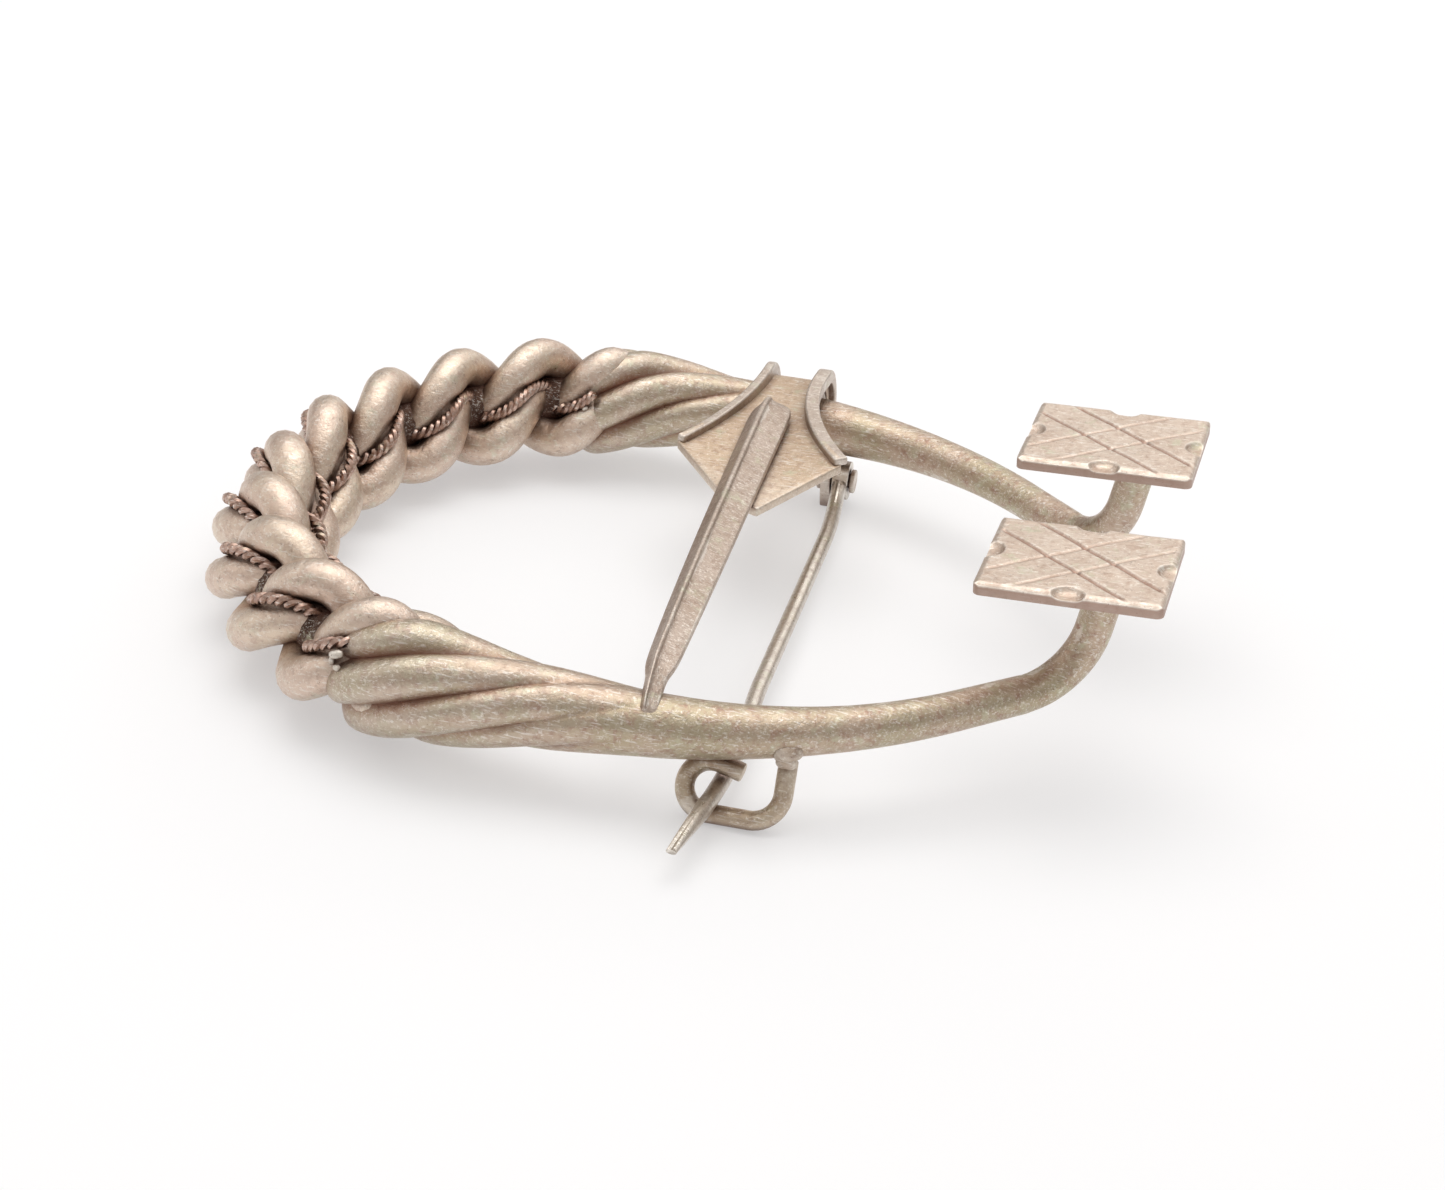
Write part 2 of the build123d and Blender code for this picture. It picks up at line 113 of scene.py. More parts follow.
world = bpy.data.worlds.new("studio")
bpy.context.scene.world = world
world.use_nodes = True
room_nodes = world.node_tree.nodes
room_links = world.node_tree.links
room_nodes.clear()
room_light = room_nodes.new("ShaderNodeBackground")
room_light.inputs["Strength"].default_value = room_strength
room_out = room_nodes.new("ShaderNodeOutputWorld")
room_way = room_nodes.new("ShaderNodeTexCoord")
room_split = room_nodes.new("ShaderNodeSeparateXYZ")
room_ramp = room_nodes.new("ShaderNodeValToRGB")
room_ramp.color_ramp.elements[0].position = 0.0
room_ramp.color_ramp.elements[0].color = room_low
room_ramp.color_ramp.elements[1].position = room_high_from
room_ramp.color_ramp.elements[1].color = room_high
room_wall = room_nodes.new("ShaderNodeBackground")
room_wall.inputs["Color"].default_value = room_seen
room_ray = room_nodes.new("ShaderNodeLightPath")
room_either = room_nodes.new("ShaderNodeMixShader")
room_links.new(room_way.outputs["Generated"], room_split.inputs[0])
room_links.new(room_split.outputs["Z"], room_ramp.inputs["Fac"])
room_links.new(room_ramp.outputs["Color"], room_light.inputs["Color"])
room_links.new(room_ray.outputs["Is Camera Ray"], room_either.inputs["Fac"])
room_links.new(room_light.outputs["Background"], room_either.inputs[1])
room_links.new(room_wall.outputs["Background"], room_either.inputs[2])
room_links.new(room_either.outputs["Shader"], room_out.inputs["Surface"])

nothing_selected()
bpy.ops.mesh.primitive_plane_add(size=paper_size)
paper = bpy.context.object
paper.name = "white_paper"
paper_look = bpy.data.materials.new("white_paper")
paper_look.use_nodes = True
paper_shader = paper_look.node_tree.nodes["Principled BSDF"]
paper_shader.inputs["Base Color"].default_value = paper_grey
paper_shader.inputs["Emission Color"].default_value = paper_glow
paper_shader.inputs["Emission Strength"].default_value = paper_glow_strength
paper_shader.inputs["Roughness"].default_value = paper_roughness
paper.data.materials.append(paper_look)


# Twisted bow: four thick silver rods, twisted together in two pairs and bent into an open half
# hoop. Each pair turns the other way as the two pairs go round each other, so that the rods show
# as lobes. Their thinned ends are soldered into the roots of the two arms.
lay_tilt = math.radians(1.8297634263456568)
lay_shift = Vector((-5.08403, 1.58033, 5.03469))
bow_radius = 20.5
bow_front_reach = math.radians(63)
bow_rear_reach = math.radians(68)
straight_length = 6.2
arm_curve_radius = 26.5
arm_sweep = math.radians(42)
arm_tail_length = 4.4
pair_count = 2
twist_pitch = 11.47
twist_start = math.radians(27)
twist_unit_angle = math.radians(173.4)
pair_offset = 1.78
rod_offset = 1.28
rod_radius = 1.3
rod_tail = 4.4
rod_gathering = 0.75
rod_thinning = 0.35
rod_unevenness = 0.012
rod_steps = 200
rod_sides = 24

quarter_bow = bow_radius * math.pi / 2
tail_start_run = quarter_bow + straight_length + arm_curve_radius * arm_sweep
arm_end_run = tail_start_run + arm_tail_length
front_start = bow_radius * bow_front_reach
rear_start = bow_radius * bow_rear_reach
twisted_length = front_start + rear_start
unit_along = bow_radius * (math.pi - twist_unit_angle)


def laid(point):
    """A point of the level hoop, in millimetres, where the brooch lies on the table, in metres."""
    x = point.x * math.cos(lay_tilt) - point.z * math.sin(lay_tilt)
    z = point.x * math.sin(lay_tilt) + point.z * math.cos(lay_tilt)
    return (Vector((x, point.y, z)) + lay_shift) * MM


def hoop_place(run, side):
    """Point, walking direction and inward direction on the hoop, counted from the bow's middle."""
    if run <= quarter_bow:
        turn = run / bow_radius
        point = Vector((-bow_radius * math.cos(turn), side * bow_radius * math.sin(turn), 0))
        heading = math.pi / 2 - turn
    elif run <= quarter_bow + straight_length:
        point = Vector((run - quarter_bow, side * bow_radius, 0))
        heading = 0
    else:
        turn = (min(run, tail_start_run) - quarter_bow - straight_length) / arm_curve_radius
        tail = max(run - tail_start_run, 0)
        x = straight_length + arm_curve_radius * math.sin(turn) + tail * math.cos(turn)
        y = bow_radius - arm_curve_radius * (1 - math.cos(turn)) - tail * math.sin(turn)
        point = Vector((x, side * y, 0))
        heading = -turn
    walk = Vector((math.cos(heading), side * math.sin(heading), 0))
    inward = Vector((math.sin(heading), -side * math.cos(heading), 0))
    return point, walk, inward


def in_bow(along, inward_by, up_by):
    """A place beside the bow's axis, counted from the bow's middle, positive towards the rear."""
    side = 1 if along >= 0 else -1
    centre, walk, inward = hoop_place(abs(along), side)
    return laid(centre + inward * inward_by + Vector((0, 0, up_by)))


def pair_angles(along, pair, half):
    """Where a pair stands round the bow's axis, and one of its rods round the pair."""
    from_unit = along - unit_along
    main_rate = 2 * math.pi / twist_pitch
    main = main_rate * from_unit + 2 * math.pi * pair / pair_count + twist_start
    own = -main_rate / 2 * from_unit + math.pi * (0.5 - pair / pair_count + half) + twist_start
    return main, own


def round_strands(name, paths, radius, sides):
    """Round strands along lists of points, bevelled as one curve and turned into a mesh."""
    nothing_selected()
    bpy.ops.curve.primitive_nurbs_path_add()
    piece = bpy.context.object
    piece.name = name
    curve = piece.data
    curve.splines.clear()
    for path in paths:
        spline = curve.splines.new("POLY")
        spline.points.add(len(path) - 1)
        for point, (place, scale) in zip(spline.points, path):
            point.co = (*place, 1)
            point.radius = scale
    curve.dimensions = "3D"
    curve.twist_mode = "MINIMUM"
    curve.bevel_depth = radius * MM
    curve.bevel_resolution = sides // 4
    curve.use_fill_caps = True
    bpy.ops.object.convert(target="MESH")
    piece = bpy.context.object
    bpy.ops.object.mode_set(mode="EDIT")
    bpy.ops.mesh.select_all(action="SELECT")
    bpy.ops.mesh.remove_doubles(threshold=1e-6)
    bpy.ops.mesh.normals_make_consistent(inside=False)
    bpy.ops.object.mode_set(mode="OBJECT")
    bpy.ops.object.shade_smooth_by_angle(angle=math.radians(50))
    return piece


green_film = (0.56, 0.56, 0.40)
rubbed_edge = (0.86, 0.81, 0.74)
fleck_and_glint = (0.88, 0.83, 0.76)
brown_stain = (0.30, 0.20, 0.15)
pit_dirt = (0.30, 0.20, 0.16)
fresh_scratch = (0.90, 0.87, 0.82)
crevice_shade = (0.15, 0.08, 0.06)
groove_shade = (0.36, 0.22, 0.17)
scratch_stretch = (700, 9500, 9500)
scratch_ways = ((0.4, 0.5, 0.9), (-0.7, 0.3, -0.4))
crevice_reach = 1.5 * MM
crevice_samples = 8
to_millimetres = 1000


def old_silver(name, clean, shade, tarnish, roughness, crevice=0.85, bump=0.6, worn=0.5):
    """Old silver: warm and cool patches, painted shade in the hollows and crevices, pits, fine
    scratches, worn edges, light flecks that are partly painted glints.
    """
    look = bpy.data.materials.new(name)
    look.use_nodes = True
    nodes = look.node_tree.nodes
    links = look.node_tree.links
    shader = nodes["Principled BSDF"]
    shader.inputs["Metallic"].default_value = 1.0
    place = nodes.new("ShaderNodeTexCoord")
    millimetres = nodes.new("ShaderNodeMapping")
    millimetres.inputs["Scale"].default_value = (to_millimetres,) * 3
    links.new(place.outputs["Object"], millimetres.inputs["Vector"])

    def noise(size, detail, rough):
        made = nodes.new("ShaderNodeTexNoise")
        made.inputs["Scale"].default_value = size
        made.inputs["Detail"].default_value = detail
        made.inputs["Roughness"].default_value = rough
        links.new(millimetres.outputs["Vector"], made.inputs["Vector"])
        return made.outputs["Fac"]

    def ramp(source, low, high, first=0, last=1):
        made = nodes.new("ShaderNodeValToRGB")
        made.color_ramp.elements[0].position = low
        made.color_ramp.elements[0].color = (first, first, first, 1)
        made.color_ramp.elements[1].position = high
        made.color_ramp.elements[1].color = (last, last, last, 1)
        links.new(source, made.inputs["Fac"])
        return made.outputs["Color"]

    def mix(share, under, over):
        made = nodes.new("ShaderNodeMix")
        made.data_type = "RGBA"
        links.new(share, made.inputs["Factor"])
        for socket, value in ((made.inputs["A"], under), (made.inputs["B"], over)):
            if isinstance(value, tuple):
                socket.default_value = (*value, 1)
            else:
                links.new(value, socket)
        return made.outputs["Result"]

    def scratch_lines(turn):
        way = nodes.new("ShaderNodeMapping")
        way.inputs["Scale"].default_value = scratch_stretch
        way.inputs["Rotation"].default_value = turn
        links.new(place.outputs["Object"], way.inputs["Vector"])
        lines = nodes.new("ShaderNodeTexNoise")
        lines.inputs["Scale"].default_value = 1.0
        lines.inputs["Detail"].default_value = 2
        links.new(way.outputs["Vector"], lines.inputs["Vector"])
        return ramp(lines.outputs["Fac"], 0.60, 0.68)

    def relief(height, strength, depth, under=None):
        made = nodes.new("ShaderNodeBump")
        made.inputs["Strength"].default_value = strength
        made.inputs["Distance"].default_value = depth * MM
        links.new(height, made.inputs["Height"])
        if under is not None:
            links.new(under, made.inputs["Normal"])
        return made.outputs["Normal"]

    mottle = noise(1.7, 6, 0.65)
    grain = noise(8.0, 5, 0.7)
    pits = nodes.new("ShaderNodeTexVoronoi")
    pits.inputs["Scale"].default_value = 2.6
    links.new(millimetres.outputs["Vector"], pits.inputs["Vector"])
    form = nodes.new("ShaderNodeNewGeometry")
    scratches = nodes.new("ShaderNodeMix")
    scratches.data_type = "RGBA"
    scratches.blend_type = "LIGHTEN"
    scratches.inputs["Factor"].default_value = 1
    links.new(scratch_lines(scratch_ways[0]), scratches.inputs["A"])
    links.new(scratch_lines(scratch_ways[1]), scratches.inputs["B"])
    corners = nodes.new("ShaderNodeAmbientOcclusion")
    corners.inputs["Distance"].default_value = crevice_reach
    corners.samples = crevice_samples
    groove = nodes.new("ShaderNodeAttribute")
    groove.attribute_name = "hollow"

    colour = mix(ramp(noise(0.28, 3, 0.55), 0.40, 0.60), clean, shade)
    colour = mix(ramp(mottle, 0.50, 0.68), colour, tarnish)
    colour = mix(ramp(noise(0.75, 5, 0.7), 0.56, 0.68, last=0.6), colour, green_film)
    colour = mix(ramp(form.outputs["Pointiness"], 0.505, 0.56, last=worn), colour, rubbed_edge)
    # light flecks: partly rubbed bright spots, partly painted glints
    colour = mix(ramp(noise(3.6, 8, 0.8), 0.55, 0.61, last=0.6), colour, fleck_and_glint)
    colour = mix(ramp(noise(2.3, 8, 0.8), 0.575, 0.64, last=0.55), colour, brown_stain)
    colour = mix(ramp(pits.outputs["Distance"], 0.035, 0.11, 1, 0), colour, pit_dirt)
    colour = mix(ramp(scratches.outputs["Result"], 0.2, 1.0, last=0.5), colour, fresh_scratch)
    # painted shade: darker where the ambient occlusion node finds surfaces close by, in crevices
    # and between parts
    colour = mix(ramp(corners.outputs["AO"], 0.20, 0.85, crevice, 0), colour, crevice_shade)
    # painted shade in the marked hollows (flute valleys, engraved lines, dimples) and a painted
    # dark reflection on the plate sides
    colour = mix(ramp(groove.outputs["Fac"], 0.05, 0.95, last=0.8), colour, groove_shade)
    links.new(colour, shader.inputs["Base Color"])

    polish = nodes.new("ShaderNodeMapRange")
    polish.inputs["From Min"].default_value = 0.3
    polish.inputs["From Max"].default_value = 0.7
    polish.inputs["To Min"].default_value = roughness - 0.07
    polish.inputs["To Max"].default_value = roughness + 0.13
    links.new(mottle, polish.inputs["Value"])
    links.new(polish.outputs["Result"], shader.inputs["Roughness"])

    hammered = relief(mottle, bump, 0.14)
    grained = relief(grain, bump * 0.9, 0.05, hammered)
    scratched = relief(scratches.outputs["Result"], bump * 0.4, 0.02, grained)
    links.new(scratched, shader.inputs["Normal"])
    return look


rod_silver = old_silver("rod_silver", (0.66, 0.50, 0.36), (0.62, 0.43, 0.32), (0.48, 0.30, 0.21),
                        0.34)
rod_paths = []
for pair in range(pair_count):
    for half in range(2):
        path = []
        for step in range(rod_steps + 1):
            along = -front_start - rod_tail + (twisted_length + 2 * rod_tail) * step / rod_steps
            main, own = pair_angles(along, pair, half)
            sunk = max(0, -front_start - along, along - rear_start) / rod_tail
            spread = 1 - rod_gathering * sunk ** 3
            inward_by = (pair_offset * math.cos(main) + rod_offset * math.cos(own)) * spread
            up_by = (pair_offset * math.sin(main) + rod_offset * math.sin(own)) * spread
            wave = math.sin(along * 1.3 + pair * 2.1 + half * 4.4)
            thickness = (1 - rod_unevenness * (1 + wave)) * (1 - rod_thinning * sunk ** 3)
            path.append((in_bow(along, inward_by, up_by), thickness))
        rod_paths.append(path)
twisted_rods = round_strands("twisted_rods", rod_paths, rod_radius, rod_sides)
twisted_rods.data.materials.append(rod_silver)
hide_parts("twisted_bow")
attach(twisted_rods, "brooch")


# Solder core: the solder that was run in between the four rods, coloured near black as painted
# shade. It fills the middle of the bow and shows only at the bottom of the gaps between the lobes.
core_radius = 1.7
core_overlap = 0.5
core_steps = 90
core_sides = 20
# painted shade: near black, so that the gaps between the lobes read as shadow
core_shade = old_silver("core_shade", (0.13, 0.075, 0.055), (0.10, 0.06, 0.045), (0.07, 0.04, 0.03),
                       0.6, crevice=1.0, bump=0.8, worn=0)
core_start = -front_start - core_overlap
core_length = twisted_length + 2 * core_overlap
core_path = [(in_bow(core_start + core_length * step / core_steps, 0, 0), 1)
             for step in range(core_steps + 1)]
solder_core = round_strands("solder_core", [core_path], core_radius, core_sides)
solder_core.data.materials.append(core_shade)
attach(solder_core, "brooch")


# Fine wires: a thin cord of two silver wires twisted together, laid in the groove between the two
# rods of each pair wherever that groove faces outwards, and soldered down. It is darker and redder
# than the rods, because it was never rubbed clean.
wire_radius = 0.20
wire_sides = 4
wire_lay = 0.19
wire_height = 1.46
wire_half_length = 3.3
wire_turn_length = 0.78
wire_front_end = -front_start - 1.6
wire_rear_end = rear_start + 1.0
wire_shortest = 1.0
wire_point_spacing = 0.07
most_grooves = 14
groove_step = twist_pitch / 3
wire_silver = old_silver("wire_silver", (0.50, 0.32, 0.25), (0.40, 0.24, 0.18), (0.26, 0.14, 0.11),
                         0.36, bump=0.15, worn=0.1)
wire_paths = []
for pair in range(pair_count):
    for count in range(-most_grooves, most_grooves + 1):
        middle = unit_along + groove_step * (count + pair / 2)
        low = max(middle - wire_half_length, wire_front_end)
        high = min(middle + wire_half_length, wire_rear_end)
        if high - low < wire_shortest:
            continue
        main, own = pair_angles(middle, pair, 0)
        half = 0 if math.cos(main - own - math.pi / 2) > 0 else 1
        steps = int((high - low) / wire_point_spacing)
        for ply in range(2):
            path = []
            for step in range(steps + 1):
                along = low + (high - low) * step / steps
                main, own = pair_angles(along, pair, half)
                groove = own + math.pi / 2
                lay = 2 * math.pi * along / wire_turn_length + math.pi * ply
                height = wire_height + wire_lay * math.cos(lay)
                aside = wire_lay * math.sin(lay)
                inward_by = (pair_offset * math.cos(main) + height * math.cos(groove)
                             - aside * math.sin(groove))
                up_by = (pair_offset * math.sin(main) + height * math.sin(groove)
                         + aside * math.cos(groove))
                path.append((in_bow(along, inward_by, up_by), 1))
            wire_paths.append(path)
fine_wires = round_strands("fine_wires", wire_paths, wire_radius, wire_sides)
fine_wires.data.materials.append(wire_silver)
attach(fine_wires, "brooch")


# Arms: one forged silver bar on each side, thick and fluted where it takes the rods' ends, tapering
# to a round wire that bends up into a post. The plate is soldered on the post's top.
front_root_diameter = 8.3
rear_root_diameter = 7.9
front_end_diameter = 2.15
rear_end_diameter = 2.2
flute_start = -16
flute_turn = -9.5
flute_count = 6
flute_depth = 1.5
flute_sharpness = 1.4
flute_shade = 6
root_round = 1.5
root_rings = 8
root_mouth = 0.70
root_mouth_flute = 0.05
root_hollow = 0.36
root_hollow_length = 4.5
bend_radius = 4.2
bend_rings = 16
post_lean = math.radians(10)
post_rings = 8
plate_rise = 7.4
arm_rings = 130
ring_points = 72
arm_table = [  # share of the arm's length, thickness and flute depth
    (0.000, 1.000, 0.18), (0.055, 0.960, 0.17), (0.115, 0.840, 0.16), (0.180, 0.670, 0.14),
    (0.250, 0.510, 0.11), (0.325, 0.390, 0.07), (0.405, 0.290, 0.03), (0.490, 0.210, 0.00),
    (0.590, 0.135, 0.00), (0.710, 0.070, 0.00), (0.850, 0.030, 0.00), (1.000, 0.010, 0.00),
]


def arm_values(share):
    """Thickness and flute depth at a share of the arm's length, smooth between the table's rows."""
    for number in range(len(arm_table) - 1):
        low, high = arm_table[number], arm_table[number + 1]
        if share <= high[0]:
            break
    before = arm_table[max(number - 1, 0)]
    after = arm_table[min(number + 2, len(arm_table) - 1)]
    t = (share - low[0]) / (high[0] - low[0])
    values = []
    for column in (1, 2):
        start_slope = (high[column] - before[column]) / (high[0] - before[0]) * (high[0] - low[0])
        end_slope = (after[column] - low[column]) / (after[0] - low[0]) * (high[0] - low[0])
        values.append((2 * t ** 3 - 3 * t ** 2 + 1) * low[column]
                      + (t ** 3 - 2 * t ** 2 + t) * start_slope
                      + (3 * t ** 2 - 2 * t ** 3) * high[column]
                      + (t ** 3 - t ** 2) * end_slope)
    return values


def arm_frames(side):
    """Place, walk, inward direction, radius, flute depth and flute turn of each ring of an arm."""
    start = rear_start if side > 0 else front_start
    root = rear_root_diameter if side > 0 else front_root_diameter
    end = rear_end_diameter if side > 0 else front_end_diameter
    first = root_round / (arm_end_run - start)
    shares = [first * (1 - math.cos(math.pi / 2 * step / root_rings)) for step in range(root_rings)]
    shares += [first + (1 - first) * step / arm_rings for step in range(arm_rings + 1)]
    rings = []
    for share in shares:
        run = start + (arm_end_run - start) * share
        point, walk, inward = hoop_place(run, side)
        thick, flute = arm_values(share)
        radius = (end + (root - end) * thick) / 2
        if share < first:
            rounding = 1 - share / first
            radius *= root_mouth + (1 - root_mouth) * math.sqrt(1 - rounding ** 2)
            flute += root_mouth_flute * rounding ** 2
        turn = math.radians(flute_start + flute_turn * (run - start))
        rings.append((point, walk, inward, radius, max(flute, 0), turn))
    point, walk, inward, radius, flute, turn = rings[-1]
    post_way = Vector((math.sin(post_lean), 0, math.cos(post_lean)))
    bend_line = walk.cross(post_way).normalized()
    full_turn = math.acos(walk.dot(post_way))
    outward = bend_line.cross(walk)
    centre = point + outward * bend_radius
    for step in range(1, bend_rings + 1):
        spin = Matrix.Rotation(full_turn * step / bend_rings, 3, bend_line)
        rings.append((centre - spin @ outward * bend_radius, spin @ walk, spin @ inward,
                      end / 2, 0, turn))
    place, walk, inward = rings[-1][:3]
    reach = (plate_rise - place.z) / post_way.z
    for step in range(1, post_rings + 1):
        rings.append((place + post_way * (reach * step / post_rings), walk, inward,
                      end / 2, 0, turn))
    return rings


def closed_loft(name, loops, smooth_angle, hollows=None):
    """A skin through loops of points of the level hoop, closed at both ends, its hollows marked for
    painted shade.
    """
    nothing_selected()
    bpy.ops.mesh.primitive_cylinder_add(vertices=len(loops[0]), radius=MM, depth=MM)
    piece = bpy.context.object
    piece.name = name
    shape = bmesh.new()
    mark = shape.verts.layers.float.new("hollow")
    rings = [[shape.verts.new(laid(point)) for point in loop] for loop in loops]
    for ring, depths in zip(rings, hollows or []):
        for vert, depth in zip(ring, depths):
            vert[mark] = depth
    for ring, following in zip(rings, rings[1:]):
        for step in range(len(ring)):
            after = (step + 1) % len(ring)
            shape.faces.new((ring[step], ring[after], following[after], following[step]))
    shape.faces.new(rings[0][::-1])
    shape.faces.new(rings[-1])
    bmesh.ops.recalc_face_normals(shape, faces=shape.faces)
    shape.to_mesh(piece.data)
    shape.free()
    only(piece)
    bpy.ops.object.shade_smooth_by_angle(angle=math.radians(smooth_angle))
    return piece


def arm_piece(name, side):
    loops = []
    hollows = []
    frames = arm_frames(side)
    for point, walk, inward, radius, flute, turn in frames:
        aside = walk.cross(inward)
        far = (point - frames[0][0]).length
        sunk = root_hollow * max(0, 1 - far / root_hollow_length) ** 1.4
        loop = []
        depths = []
        for step in range(ring_points):
            angle = 2 * math.pi * step / ring_points
            groove = (1 - abs(math.sin(flute_count / 2 * angle))) ** flute_sharpness
            above = 0.5 + 0.5 * aside.z * math.sin(angle + turn)
            reach = radius * (1 - flute_depth * flute * groove) * (1 - sunk * above)
            loop.append(point + inward * (reach * math.cos(angle + turn))
                        + aside * (reach * math.sin(angle + turn)))
            # the flute valleys are marked for painted shade
            depths.append(min(1, flute_shade * flute * groove ** 2))
        loops.append(loop)
        hollows.append(depths)
    return closed_loft(name, loops, 50, hollows)


arm_silver = old_silver("arm_silver", (0.52, 0.40, 0.305), (0.47, 0.395, 0.275),
                        (0.40, 0.26, 0.195), 0.32)
for side, name in ((-1, "front_arm"), (1, "rear_arm")):
    arm = arm_piece(name + "_forged", side)
    arm.data.materials.append(arm_silver)
    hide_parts(name)
    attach(arm, "brooch")


# Terminal plates: two nearly rectangular plates of thick silver sheet, soldered on the posts. Their
# edges and corners are worn round, each is engraved with two pairs of crossing lines, and a small
# half round dimple is punched in the middle of every side. The sides are painted darker than the
# top as a painted dark reflection, and the lines and dimples are given painted shade.
plate_length = 10.55
plate_width = 8.66
plate_thickness = 0.8
plate_pitch = math.radians(2.9)
plate_yaw = math.radians(-2.7)
plate_centre_x = 29.403
plate_half_gap = 8.276
plate_corner_radius = 0.45
plate_lip = 0.10
plate_side_shade = 0.9
plate_columns = 150
plate_rows = 124
edge_wear_width = 0.4
edge_wear_depth = 0.20
line_distance = 1.175
line_half_width = 0.17
deep_line = 0.13
shallow_line = 0.05
line_end_margin = 0.1
line_end_fade = 0.5
dimple_radius = 1.0
dimple_depth = 0.38
dimple_shade = 0.35
sheet_wave = 0.035


def plate_top(x, y, seed):
    """Height of the plate's top over its middle plane, and how much painted shade its engraving and
    dimples get.
    """
    height = plate_thickness / 2
    edge = min(plate_length / 2 - abs(x), plate_width / 2 - abs(y))
    if edge < edge_wear_width:
        height -= edge_wear_depth * (1 - edge / edge_wear_width) ** 2
    hollow = 0
    lean = math.atan2(plate_width, plate_length)
    for slope, cut in ((lean, shallow_line), (-lean, deep_line)):
        off = -x * math.sin(slope) + y * math.cos(slope)
        depth = cut * min(1, max(0, edge - line_end_margin) / line_end_fade)
        for line in (-line_distance, line_distance):
            share = max(0, 1 - ((off - line) / line_half_width) ** 2)
            height -= depth * share
            # painted shade in the engraved lines
            hollow = max(hollow, share * depth / deep_line)
    for dimple_x, dimple_y in ((plate_length / 2, 0), (-plate_length / 2, 0),
                               (0, plate_width / 2), (0, -plate_width / 2)):
        far = math.hypot(x - dimple_x, y - dimple_y) / dimple_radius
        if far < 1:
            height = min(height, plate_thickness / 2 - dimple_depth * (1 - far ** 4))
            # painted shade in the dimple
            hollow = max(hollow, dimple_shade * (1 - far))
    wave = sheet_wave * (1 + math.sin(x * 0.9 + seed) * math.sin(y * 1.1 + 2 * seed))
    return height - wave, hollow


def new_border(shape, edges):
    """Extrudes edges, and gives the new points and the new edges."""
    made = bmesh.ops.extrude_edge_only(shape, edges=edges)["geom"]
    return ({item for item in made if isinstance(item, bmesh.types.BMVert)},
            [item for item in made if isinstance(item, bmesh.types.BMEdge)])


def plate_piece(name, side):
    nothing_selected()
    bpy.ops.mesh.primitive_grid_add(x_subdivisions=plate_columns, y_subdivisions=plate_rows,
                                    size=1)
    piece = bpy.context.object
    piece.name = name
    turned = Matrix.Rotation(-plate_pitch, 3, "Y") @ Matrix.Rotation(plate_yaw, 3, "Z")
    centre = Vector((plate_centre_x, side * plate_half_gap, plate_rise))
    shape = bmesh.new()
    shape.from_mesh(piece.data)
    mark = shape.verts.layers.float.new("hollow")
    lip, lip_edges = new_border(shape, [edge for edge in shape.edges if edge.is_boundary])
    low, low_edges = new_border(shape, lip_edges)
    bmesh.ops.edgeloop_fill(shape, edges=low_edges)
    for vert in shape.verts:
        x = vert.co.x * plate_length
        y = vert.co.y * plate_width
        corner_x = max(0, abs(x) - plate_length / 2 + plate_corner_radius)
        corner_y = max(0, abs(y) - plate_width / 2 + plate_corner_radius)
        if math.hypot(corner_x, corner_y) > plate_corner_radius:
            shrink = plate_corner_radius / math.hypot(corner_x, corner_y)
            x = math.copysign(plate_length / 2 - plate_corner_radius + corner_x * shrink, x)
            y = math.copysign(plate_width / 2 - plate_corner_radius + corner_y * shrink, y)
        z, vert[mark] = plate_top(x, y, side)
        # the lip and the lower edge are marked for a painted dark reflection on the plate's sides
        if vert in lip:
            z, vert[mark] = z - plate_lip, plate_side_shade
        elif vert in low:
            z, vert[mark] = -plate_thickness / 2, plate_side_shade
        vert.co = laid(centre + turned @ Vector((x, y, z)))
    bmesh.ops.recalc_face_normals(shape, faces=shape.faces)
    shape.to_mesh(piece.data)
    shape.free()
    only(piece)
    bpy.ops.object.shade_smooth_by_angle(angle=math.radians(40))
    return piece


plate_silver = old_silver("plate_silver", (0.66, 0.55, 0.46), (0.62, 0.50, 0.41),
                          (0.53, 0.40, 0.32), 0.40, bump=0.45, worn=0.8)
for side, name in ((-1, "front_plate"), (1, "rear_plate")):
    plate = plate_piece(name + "_engraved", side)
    plate.data.materials.append(plate_silver)
    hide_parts(name)
    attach(plate, "brooch")


# Pin head: a fan of silver sheet, laid over the rear arm, curled round it and soldered there. It
# carries the fixed bar on its top and the hinge below its right corner. Its edges are worn round.
doubles_distance = 2e-6
flat_angle = math.radians(0.5)
worn_smooth_angle = 35


def worn_edges(piece, width, angle):
    """Rounds the edges that are sharper than an angle."""
    only(piece)
    rounding = piece.modifiers.new("worn_edges", "BEVEL")
    rounding.width = width * MM
    rounding.segments = 3
    rounding.limit_method = "ANGLE"
    rounding.angle_limit = math.radians(angle)
    bpy.ops.object.modifier_apply(modifier=rounding.name)


def softened(node, name, wear, look, body):
    """A copy of a CAD node's mesh with its edges worn round."""
    nothing_selected()
    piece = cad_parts[node].copy()
    piece.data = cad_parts[node].data.copy()
    piece.name = name
    bpy.context.collection.objects.link(piece)
    piece.parent = None
    piece.matrix_world = Matrix.Identity(4)
    only(piece)
    piece.data.materials.clear()
    piece.data.materials.append(look)
    bpy.ops.object.mode_set(mode="EDIT")
    bpy.ops.mesh.select_all(action="SELECT")
    bpy.ops.mesh.remove_doubles(threshold=doubles_distance)
    bpy.ops.mesh.dissolve_limited(angle_limit=flat_angle)
    bpy.ops.object.mode_set(mode="OBJECT")
    if wear:
        worn_edges(piece, wear, worn_smooth_angle)
    bpy.ops.object.shade_smooth_by_angle(angle=math.radians(worn_smooth_angle))
    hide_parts(node)
    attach(piece, body)


